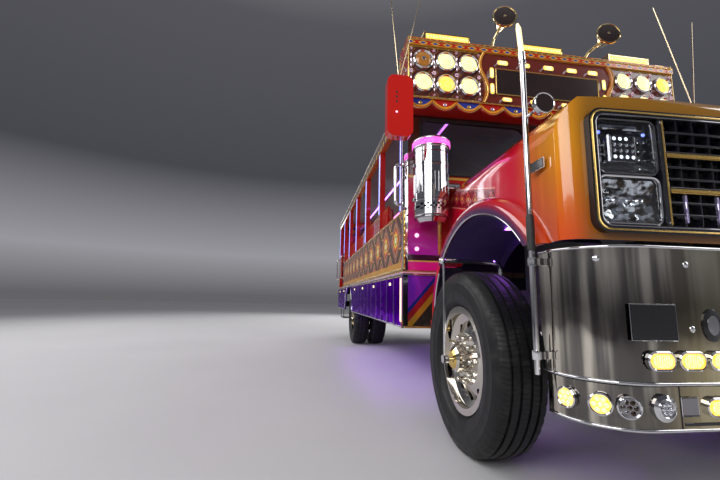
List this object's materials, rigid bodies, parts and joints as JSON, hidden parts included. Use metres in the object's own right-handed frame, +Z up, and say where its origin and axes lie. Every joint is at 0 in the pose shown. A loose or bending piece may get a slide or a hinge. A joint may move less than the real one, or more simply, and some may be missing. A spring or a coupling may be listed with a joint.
{
  "type": "chiva bus",
  "caption": "Conventional-cab party bus with open sides, lamp marquee over the windscreen, tilting hood, chrome bumper and roof rack.",
  "frame": {"origin": "on the ground under the middle of the bus", "axes": "+Z up, nose towards -Y, driver's side towards +X"},
  "size_m": [3, 8.5, 3.701],
  "materials": {
    "chassis_black": "satin",
    "cast_grey": "rough",
    "engine_grey": "rough",
    "radiator_black": "matte",
    "tank_metal": "polished",
    "exhaust_steel": "brushed",
    "deck_wood": "worn",
    "post_paint": "gloss",
    "panel_paint": "gloss",
    "wall_paint": "gloss",
    "glass": "clear",
    "roof_paint": "satin",
    "rack_chrome": "polished",
    "skirt_mirror": "polished",
    "bench_vinyl": "satin",
    "seat_fabric": "woven",
    "dash_plastic": "matte",
    "wheel_plastic": "satin",
    "door_paint": "gloss",
    "hood_paint": "gloss",
    "cowl_paint": "gloss",
    "grille_metal": "satin",
    "lamp_clear": "clear",
    "chrome": "mirror polished",
    "lamp_yellow": "glossy",
    "marquee_paint": "gloss",
    "trim_gold": "gloss",
    "mirror_red": "gloss",
    "lamp_red": "glossy",
    "tyre": "matte",
    "rim_chrome": "mirror polished"
  },
  "bodies": {
    "chassis": {"chassis_frame": "chassis_black", "springs": "cast_grey", "front_axle": "cast_grey", "rear_axle": "cast_grey", "engine_block": "engine_grey", "radiator": "radiator_black", "drive_shaft": "cast_grey", "fuel_tank": "tank_metal", "exhaust": "exhaust_steel", "floor_deck": "deck_wood", "side_posts": "post_paint", "low_panels": "panel_paint", "door_post": "post_paint", "eave_rails": "post_paint", "front_wall": "wall_paint", "windscreen": "glass", "rear_wall": "wall_paint", "roof_shell": "roof_paint", "roof_rack": "rack_chrome", "rear_ladder": "rack_chrome", "skirts": "skirt_mirror", "benches": "bench_vinyl", "driver_seat": "seat_fabric", "dashboard": "dash_plastic", "steering_wheel": "wheel_plastic", "entry_steps": "chassis_black", "hood_hinges": "chassis_black", "cowl": "cowl_paint", "front_bumper": "chrome", "bumper_lamps": "lamp_yellow", "guide_poles": "chrome", "marquee_box": "marquee_paint", "marquee_lamps": "lamp_yellow", "marquee_trim": "trim_gold", "roof_lamps": "lamp_yellow", "mirrors": "mirror_red", "air_cleaner": "chrome", "grab_rails": "chrome", "rear_bumper": "chrome", "tail_lamps": "lamp_red"},
    "hood": {"hood_shell": "hood_paint", "fender_flares": "hood_paint", "grille": "grille_metal", "headlamps": "lamp_clear"},
    "door": {"driver_door": "door_paint"},
    "knuckle_left": {"knuckle_left": "cast_grey"},
    "knuckle_right": {"knuckle_right": "cast_grey"},
    "tie_rod": {"tie_rod": "cast_grey"},
    "wheel_front_left": {"front_tyre_left": "tyre", "front_rim_left": "rim_chrome"},
    "wheel_front_right": {"front_tyre_right": "tyre", "front_rim_right": "rim_chrome"},
    "wheels_rear_left": {"rear_tyres_left": "tyre", "rear_rims_left": "rim_chrome"},
    "wheels_rear_right": {"rear_tyres_right": "tyre", "rear_rims_right": "rim_chrome"}
  },
  "joints": [
    {"name": "hood_tilt", "type": "hinge", "parent": "chassis", "child": "hood", "pos_m": [0, -4.112, 1.15], "axis": [1, 0, 0], "range_deg": [0, 55]},
    {"name": "driver_door_swing", "type": "hinge", "parent": "chassis", "child": "door", "pos_m": [1.263, -2.204, 1.85], "axis": [0, 0, -1], "range_deg": [0, 80]},
    {"name": "steer_left", "type": "hinge", "parent": "chassis", "child": "knuckle_left", "pos_m": [0.897, -3.3, 0.52], "axis": [0, 0, 1], "range_deg": [-33, 33]},
    {"name": "steer_right", "type": "hinge", "parent": "chassis", "child": "knuckle_right", "pos_m": [-0.897, -3.3, 0.52], "axis": [0, 0, 1], "range_deg": [-33, 33]},
    {"name": "tie_rod_swing", "type": "hinge", "parent": "knuckle_left", "child": "tie_rod", "pos_m": [0.897, -3.11, 0.41], "axis": [0, 0, 1], "range_deg": [-33, 33]},
    {"name": "front_wheel_left_spin", "type": "hinge", "parent": "knuckle_left", "child": "wheel_front_left", "pos_m": [1.047, -3.3, 0.52], "axis": [1, 0, 0], "continuous": true},
    {"name": "front_wheel_right_spin", "type": "hinge", "parent": "knuckle_right", "child": "wheel_front_right", "pos_m": [-1.047, -3.3, 0.52], "axis": [1, 0, 0], "continuous": true},
    {"name": "rear_wheels_left_spin", "type": "hinge", "parent": "chassis", "child": "wheels_rear_left", "pos_m": [0.88, 1.9, 0.52], "axis": [1, 0, 0], "continuous": true},
    {"name": "rear_wheels_right_spin", "type": "hinge", "parent": "chassis", "child": "wheels_rear_right", "pos_m": [-0.88, 1.9, 0.52], "axis": [1, 0, 0], "continuous": true}
  ],
  "couplings": [
    {"joint": "steer_right", "follows": "steer_left", "ratio": 1},
    {"joint": "tie_rod_swing", "follows": "steer_left", "ratio": -1}
  ]
}
